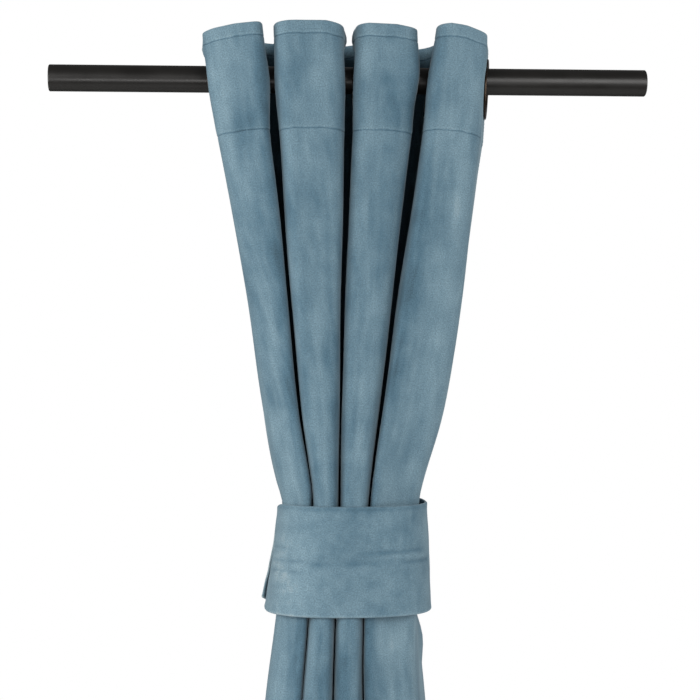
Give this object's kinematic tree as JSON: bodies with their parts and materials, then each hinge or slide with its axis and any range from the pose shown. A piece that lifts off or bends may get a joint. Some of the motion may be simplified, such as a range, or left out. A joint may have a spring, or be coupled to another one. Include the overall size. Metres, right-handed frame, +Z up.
{
  "type": "velvet eyelet curtain with a tieback band, on a curtain rod",
  "caption": "Velvet eyelet curtain hanging in deep pleats from a round rod, gathered by a wide velvet tieback band.",
  "frame": {"origin": "middle of the rod's axis", "axes": "+Z up, +X along the rod to the viewer's right, -Y towards the room"},
  "size_m": [0.563, 0.1534, 1.3701],
  "materials": {
    "velvet": "short cut pile, dusty blue, with a soft nap",
    "rod_black": "satin black paint",
    "ring_bronze": "dark bronze plating"
  },
  "bodies": {
    "root": {"rod": "rod_black", "curtain_panel": "velvet", "eyelet_ring_1": "ring_bronze", "eyelet_ring_2": "ring_bronze", "eyelet_ring_3": "ring_bronze", "eyelet_ring_4": "ring_bronze", "eyelet_ring_5": "ring_bronze", "eyelet_ring_6": "ring_bronze", "eyelet_ring_7": "ring_bronze", "eyelet_ring_8": "ring_bronze", "tieback_band": "velvet"}
  },
  "joints": []
}
